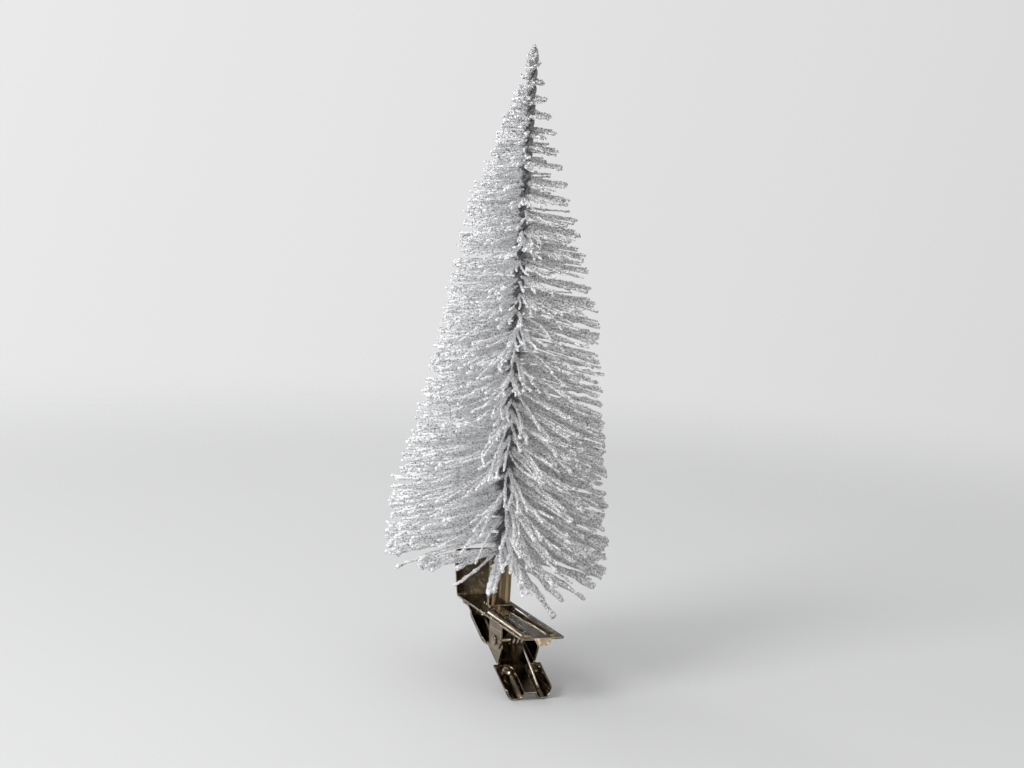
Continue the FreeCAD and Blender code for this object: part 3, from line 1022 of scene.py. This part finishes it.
    def build(self, coat: bpy.types.Material, foil: bpy.types.Material) -> None:
        """Build and dress every band, with the hanging strands on the lowest one.

        Args:
            coat: Material of the filaments.
            foil: Material of the flakes.
        """
        for number, (band, (low, high)) in enumerate(self.bands.items()):
            chance = np.random.default_rng(self.seed + number)
            drawn = self.strands(low, high, chance)
            if band == "skirt":
                drawn = drawn.with_more(self.hanging_strands(chance))
            radii = self.coat(drawn, chance)
            tubes, outward = strand_tubes(drawn.lines, radii, radii[:, -1].mean(-1) * 0.6)
            filaments = tubes.piece(f"{band}_filaments", coat)
            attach(filaments, Body.ORNAMENT.value)
            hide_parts(f"bristles_{band}")
            flakes = self.flakes(drawn, radii, outward, chance)
            glitter = flakes.piece(f"{band}_glitter", foil, smooth=False)
            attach(glitter, Body.ORNAMENT.value)
            log.info("%s band: %d filaments, %d flakes", band, len(radii), len(flakes.sizes))


@dataclass
class Apex:
    """Knob of glue and glitter over the cut ends of the two wires."""

    height: float = 162.2 * MM
    radius: float = 1.2 * MM
    rise: float = 2.3 * MM
    rings: int = 22
    sides: int = 28
    pole: float = 0.06
    flakes: int = 300
    flake_reach: tuple[float, float] = (0.1, 0.2)
    seed: int = 31

    def knob(self, chance: np.random.Generator) -> Surface:
        """The knob: an egg-shaped surface of two angles, narrow above, pushed in and out by waves of both.

        Args:
            chance: Random source.

        Returns:
            The surface, whose last two points are the poles.
        """
        polar = np.linspace(self.pole, math.pi - self.pole, self.rings)[:, None]
        around = TURN * np.arange(self.sides)[None, :] / self.sides
        lumps = 1 + 0.10 * np.sin(3 * around + 2 * polar) * np.sin(polar)
        lumps = lumps + 0.07 * np.sin(5 * around - 4 * polar + 1.3)
        lumps = (lumps + chance.normal(0, 0.035, (self.rings, self.sides))) * (1 - 0.3 * np.cos(polar))
        grid = np.stack([
            self.radius * lumps * np.sin(polar) * np.cos(around),
            STEM_Y + self.radius * lumps * np.sin(polar) * np.sin(around),
            self.height + self.rise * np.cos(polar) * np.ones_like(around),
        ], -1)
        between, near, far = ring_faces(self.rings, self.sides)
        points = np.concatenate([grid.reshape(-1, 3), grid[:1].mean(1), grid[-1:].mean(1)])
        corners = np.concatenate([between.ravel(), near.ravel(), far.ravel()])
        sizes = np.concatenate([np.full(len(between), 4), np.full(len(near) + len(far), 3)])
        return Surface(points, corners, sizes)

    def build(self, coat: bpy.types.Material, foil: bpy.types.Material) -> None:
        """Build the knob and the flakes on it.

        Args:
            coat: Material of the knob.
            foil: Material of its flakes.
        """
        chance = np.random.default_rng(self.seed)
        surface = self.knob(chance)
        knob = surface.piece("apex_knob", coat)
        centre = surface.points[chance.integers(0, self.rings * self.sides, self.flakes)]
        away = unit(centre - np.array([0, STEM_Y, self.height]))
        facing = unit(away + 0.5 * chance.normal(size=away.shape))
        reach = chance.uniform(*self.flake_reach, self.flakes) * MM
        flakes = flake_field(centre + away * 0.03 * MM, facing, reach, chance)
        glitter = flakes.piece("apex_glitter", foil, smooth=False)
        for piece in (knob, glitter):
            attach(piece, Body.ORNAMENT.value)
        log.info("apex knob: %d flakes", self.flakes)


# The clip


@dataclass
class TorsionSpring:
    """Coil round the pin with two straight legs."""

    pivot_y: float = -8.66295 * MM
    pivot_z: float = -2 * MM
    wire: float = 0.35 * MM
    coil: float = 1.5 * MM
    pitch: float = 1.25 * MM
    full_turns: int = 3
    leg_reach: float = 13.0 * MM
    upper_leg_height: float = 5.55 * MM
    lower_leg_height: float = 6.75 * MM
    arms_apart: float = math.radians(26)
    end_cap: float = 0.02 * MM
    sides: int = 16
    coil_points: int = 150
    leg_points: int = 23

    def leg(self, height: float) -> tuple[float, float]:
        """Slope and length of a leg that is tangent to the coil and ends at a height.

        Args:
            height: Height of the leg's end above the coil's axis.

        Returns:
            The slope in radians and the length in metres.
        """
        away = math.hypot(self.leg_reach, height)
        slope = math.atan2(height, self.leg_reach) - math.asin(self.coil / away)
        return slope, math.sqrt(away**2 - self.coil**2)

    def centre_line(self) -> np.ndarray:
        """The wire's centre line: a straight leg, a helix about the pin and a straight leg."""
        upper_rise, upper_leg = self.leg(self.upper_leg_height)
        lower_rise, lower_leg = self.leg(self.lower_leg_height)
        first = math.pi / 2 - upper_rise
        turn = -(TURN * self.full_turns + math.pi - self.arms_apart - upper_rise - lower_rise)
        climb = self.pitch / TURN
        half_length = -turn * climb / 2
        angle = np.linspace(first, first + turn, self.coil_points)
        sine, cosine = self.coil * np.sin(angle), self.coil * np.cos(angle)
        coil = np.stack([-half_length + (first - angle) * climb, cosine, sine], -1)
        heading = unit(np.stack([np.full_like(angle, climb), sine, -cosine], -1))
        slant = math.hypot(1, climb / self.coil)
        share = np.linspace(0, 1, self.leg_points + 1)[:, None]
        before = coil[0] - heading[0] * upper_leg * slant * (1 - share[:-1])
        after = coil[-1] + heading[-1] * lower_leg * slant * share[1:]
        return np.concatenate([before, coil, after]) + np.array([0, self.pivot_y, self.pivot_z])

    def build(self, wire: bpy.types.Material) -> None:
        """Carry a round section along the line.

        Args:
            wire: Material of the spring.
        """
        line = self.centre_line()[None]
        radii = np.full((1, line.shape[1], self.sides), self.wire)
        tube, _ = strand_tubes(line, radii, np.array([self.end_cap]))
        piece = tube.piece("spring_winding", wire)
        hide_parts("torsion_spring")
        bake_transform(piece)


@dataclass
class Clip:
    """Stamped arms, pin, socket and wires: the frame's own solids, with their finishes."""

    flakes: int = 420
    flake_reach: tuple[float, float] = (0.07, 0.19)
    deck_x: tuple[float, float] = (-6.2 * MM, 6.2 * MM)
    deck_y: tuple[float, float] = (-27.2 * MM, 1.9 * MM)
    deck_height: float = 3.51 * MM
    bead_rise: float = 1.0 * MM
    bead_width: float = 3.9 * MM
    bead_centre: float = 3.7 * MM
    seed: int = 53

    def dress_solids(self, finishes: dict[str, bpy.types.Material]) -> None:
        """Put each solid's finish on it.

        Args:
            finishes: Material by the name of the frame's node.
        """
        for node, material in finishes.items():
            dress(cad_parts[node], material)
            log.info("%s: dressed in %s", node, material.name)

    def fallen_glitter(self, foil: bpy.types.Material) -> None:
        """Scatter a little glitter on the upper arm, on its deck or on the arch of its beads.

        An arch stands the square root of (radius squared less the distance from its crest squared) above
        the bead's centre, where the radius is that of a circle through the bead's foot and crest.

        Args:
            foil: Material of the flakes.
        """
        chance = np.random.default_rng(self.seed)
        x = chance.uniform(*self.deck_x, self.flakes)
        y = chance.uniform(*self.deck_y, self.flakes)
        radius = ((self.bead_width / 2) ** 2 + self.bead_rise**2) / (2 * self.bead_rise)
        off = np.abs(np.abs(x) - self.bead_centre)
        arch = np.sqrt(np.maximum(radius**2 - off**2, 0)) - (radius - self.bead_rise)
        height = self.deck_height + np.maximum(arch, 0) + 0.03 * MM
        facing = unit(np.array([0, 0, 1.0]) + 0.35 * chance.normal(size=(self.flakes, 3)))
        reach = chance.uniform(*self.flake_reach, self.flakes) * MM
        flakes = flake_field(np.stack([x, y, height], -1), facing, reach, chance)
        fallen = flakes.piece("fallen_glitter", foil, smooth=False)
        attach(fallen, Body.ORNAMENT.value)
        log.info("fallen glitter: %d flakes", self.flakes)


# The studio


@dataclass
class Studio:
    """Pale floor, soft lights and the camera at the photograph's angle."""

    azimuth: float = -23.06
    elevation: float = 8.38
    roll: float = 3.58
    distance: float = 602.1 * MM
    lens: float = 74.62
    aim: Triple = (0, 4.84 * MM, 80 * MM)
    aside: float = -0.94 * MM
    below: float = -10.82 * MM
    lit: Triple = (0, 0, 0.07)
    floor_height: float = -16.29 * MM
    floor_reach: float = 0.7
    floor_rings: int = 12
    floor_spokes: int = 96
    bright_side: Triple = (-0.92, 0.39, 0.25)
    glow_left: float = 1.5
    glow_right: float = 0.42
    wall_left: float = 0.85
    wall_right: float = 0.675

    def camera(self) -> None:
        """Set the camera by its heading, its roll and the point that it looks at."""
        turn, tilt, roll = (math.radians(v) for v in (self.azimuth, self.elevation, self.roll))
        back = Vector((math.sin(turn) * math.cos(tilt), -math.cos(turn) * math.cos(tilt), math.sin(tilt)))
        level = Vector((math.cos(turn), math.sin(turn), 0))
        upright = back.cross(level)
        right = level * math.cos(roll) + upright * math.sin(roll)
        up = upright * math.cos(roll) - level * math.sin(roll)
        place = Vector(self.aim) + right * self.aside + up * self.below + back * self.distance
        data = bpy.data.cameras.new("camera")
        data.lens = self.lens
        data.sensor_width = 36
        data.clip_start = 0.01
        data.clip_end = 20
        camera = bpy.data.objects.new("camera", data)
        camera.matrix_world = Matrix.Translation(place) @ Matrix((right, up, back)).transposed().to_4x4()
        bpy.context.scene.collection.objects.link(camera)
        bpy.context.scene.camera = camera

    def light(self, name: str, place: Triple, size: float, power: float) -> None:
        """One square soft white light that faces the middle of the brush.

        Args:
            name: Name of the light.
            place: Where it stands, in metres.
            size: Width in metres.
            power: Power in watts.
        """
        data = bpy.data.lights.new(name, "AREA")
        data.size = size
        data.energy = power
        lamp = bpy.data.objects.new(name, data)
        heading = Vector(place) - Vector(self.lit)
        lamp.matrix_world = Matrix.Translation(place) @ heading.to_track_quat("Z", "Y").to_matrix().to_4x4()
        bpy.context.scene.collection.objects.link(lamp)

    def world(self) -> None:
        """Pale surroundings, brighter on the left, with a banded dim room for mirror reflections.

        The camera sees the wall, mirror rays see the room, and all other rays get the glow.
        """
        world = bpy.data.worlds.new("studio")
        bpy.context.scene.world = world
        graph = Graph(world, "OutputWorld")
        place = graph.add("TexCoord").outputs["Generated"]
        colour = graph.ramp(graph.span(graph.height(place), -1, 1, 0, 1), (
            (0.42, (0.2, 0.19, 0.17)),
            (0.56, (0.07, 0.065, 0.055)),
            (0.72, (0.40, 0.40, 0.39)),
            (0.95, (0.85, 0.86, 0.88)),
        ))
        side = graph.vector("DOT_PRODUCT", place, self.bright_side)
        room = graph.add("Background", {"Color": colour})
        strength = graph.span(side, -0.8, 0.8, self.glow_right, self.glow_left)
        glow = graph.add("Background", {"Color": (0.9, 0.905, 0.92), "Strength": strength})
        tone = graph.span(side, -0.35, 0.35, self.wall_right, self.wall_left)
        wall = graph.add("Background", {"Color": (1, 1, 1), "Strength": tone})
        rays = graph.add("LightPath").outputs
        unseen = graph.add("MixShader", {0: rays["Is Glossy Ray"], 1: glow, 2: room})
        graph.show(graph.add("MixShader", {0: rays["Is Camera Ray"], 1: unseen, 2: wall}))

    def floor(self) -> None:
        """Round pale board under the clip: a disc of rings and spokes, closed by a fan at its hub."""
        out = np.linspace(0.01, 1, self.floor_rings)[:, None] * self.floor_reach
        around = TURN * np.arange(self.floor_spokes)[None, :] / self.floor_spokes
        level = np.full((self.floor_rings, self.floor_spokes), self.floor_height)
        grid = np.stack([out * np.cos(around), out * np.sin(around), level], -1).reshape(-1, 3)
        between, hub, _ = ring_faces(self.floor_rings, self.floor_spokes)
        points = np.concatenate([grid, [[0, 0, self.floor_height]]])
        corners = np.concatenate([between.ravel(), hub.ravel()])
        sizes = np.concatenate([np.full(len(between), 4), np.full(len(hub), 3)])
        finish = PaleFloor("pale_board", self.floor_height).make()
        board = Surface(points, corners, sizes).piece("floor", finish)

    def build(self) -> None:
        """Set up the whole studio."""
        bpy.context.scene.view_settings.view_transform = "Standard"
        self.world()
        self.floor()
        self.light("key", (-0.62, -0.25, 0.55), 0.32, 4.4)
        self.light("fill", (0.36, -0.87, 0.15), 0.3, 0.6)
        self.light("rim", (-0.27, 0.75, 0.42), 0.2, 1.1)
        self.light("strip", (0.22, 0.8, 0.36), 0.09, 0.16)
        self.camera()
        log.info("studio: floor, four lights and camera")


def clip_finishes() -> dict[str, bpy.types.Material]:
    """Make the finishes of the frame's own solids.

    Returns:
        Material by the name of the frame's node.
    """
    # Painted reflection: the sheet's and the socket's plate colours are made dark to stand for dark
    # surroundings mirrored in them, and their bright edge colours are painted highlights.
    sheet = PlatedMetal(
        "warm_plate", bright=(0.21, 0.172, 0.124), tarnish=(0.075, 0.058, 0.037), edge=(0.97, 0.89, 0.75)
    ).make()
    tube = PlatedMetal(
        "socket_plate", bright=(0.15, 0.115, 0.07), tarnish=(0.05, 0.037, 0.022), edge=(0.99, 0.93, 0.8),
        grain=(1, 1, 0.05),
    ).make()
    pin = PlatedMetal(
        "pin_plate", bright=(0.5, 0.42, 0.33), tarnish=(0.24, 0.185, 0.13), edge=(0.9, 0.82, 0.7),
        roughness=0.18,
    ).make()
    stem = GlitterCoat(
        "stem_coat", dark=(0.10, 0.10, 0.11), light=(0.55, 0.55, 0.56), metallic=0.5, facet=0.3 * MM, bare_and_shaded=0.2
    ).make()
    return {
        "upper_arm": sheet,
        "lower_arm": sheet,
        "stem_socket": tube,
        "pivot_pin": pin,
        "stem_wire_a": stem,
        "stem_wire_b": stem,
    }


def main() -> None:
    """Build every sub-assembly in order."""
    logging.basicConfig(level=logging.INFO, format="%(name)s: %(message)s")
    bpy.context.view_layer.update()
    coat = GlitterCoat("glitter_coat", dark=(0.70, 0.70, 0.71), light=(0.88, 0.88, 0.89)).make()
    knob = GlitterCoat(
        "knob_coat", dark=(0.70, 0.70, 0.69), light=(0.93, 0.93, 0.92), root=(0.85, 0.85, 0.84)
    ).make()
    foil = FlakeFoil("flake_foil").make()
    wire = PlatedMetal(
        "drawn_wire", bright=(0.50, 0.44, 0.37), tarnish=(0.26, 0.21, 0.17), edge=(0.7, 0.64, 0.55),
        roughness=0.22,
    ).make()
    Brush().build(coat, foil)
    Apex().build(knob, foil)
    TorsionSpring().build(wire)
    clip = Clip()
    clip.dress_solids(clip_finishes())
    clip.fallen_glitter(foil)
    Studio().build()


if __name__ == "__main__":
    main()
